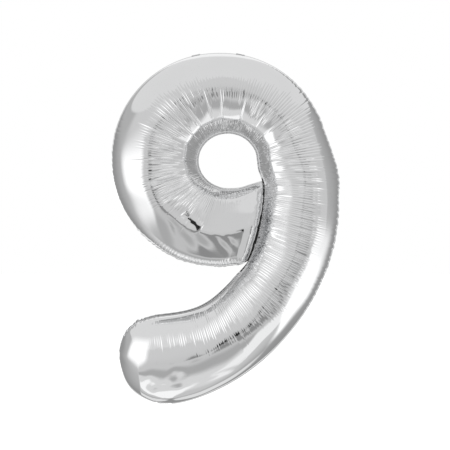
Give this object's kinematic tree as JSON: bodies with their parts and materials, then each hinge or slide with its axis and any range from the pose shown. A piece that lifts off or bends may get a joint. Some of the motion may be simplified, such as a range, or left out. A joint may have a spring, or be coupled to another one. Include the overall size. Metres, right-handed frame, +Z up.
{
  "type": "foil number balloon",
  "caption": "Inflated silver foil number balloon in the shape of a 9, with welded edges, a folded inflation neck with its valve film, and hanging tabs.",
  "frame": {"origin": "under the middle of the figure, level with its lowest edge, in the plane of the weld between the two foils", "axes": "+Z up the figure, +X to the figure's right as read from the front, -Y out of the front face"},
  "size_m": [0.56, 0.1973, 0.8581],
  "materials": {
    "foil": "mirror-bright metallised film, crinkled along its welds",
    "weld": "bright metallised film, pressed flat",
    "valve_film": "clear thin film"
  },
  "bodies": {
    "balloon": {"front_foil": "foil", "back_foil": "foil", "outline_weld": "weld", "eye_weld": "weld", "bowl_end_weld": "weld", "valve_front_film": "valve_film", "valve_back_film": "valve_film"},
    "neck": {"neck_front_foil": "foil", "neck_back_foil": "foil", "neck_valve_front_film": "valve_film", "neck_valve_back_film": "valve_film", "neck_left_weld": "weld", "neck_right_weld": "weld"},
    "tab_left": {"hanging_tab_left": "foil"},
    "tab_right": {"hanging_tab_right": "foil"}
  },
  "joints": [
    {"name": "neck_fold", "type": "hinge", "parent": "balloon", "child": "neck", "pos_m": [-0.15, 0, 0.0026], "axis": [-1, 0, 0], "range_deg": [0, 170]},
    {"name": "tab_left_fold", "type": "hinge", "parent": "balloon", "child": "tab_left", "pos_m": [-0.07172, 0, 0.85345], "axis": [0.9781, 0, 0.2079], "range_deg": [0, 200]},
    {"name": "tab_right_fold", "type": "hinge", "parent": "balloon", "child": "tab_right", "pos_m": [0.03808, 0, 0.85514], "axis": [0.9781, 0, -0.2079], "range_deg": [0, 200]}
  ]
}
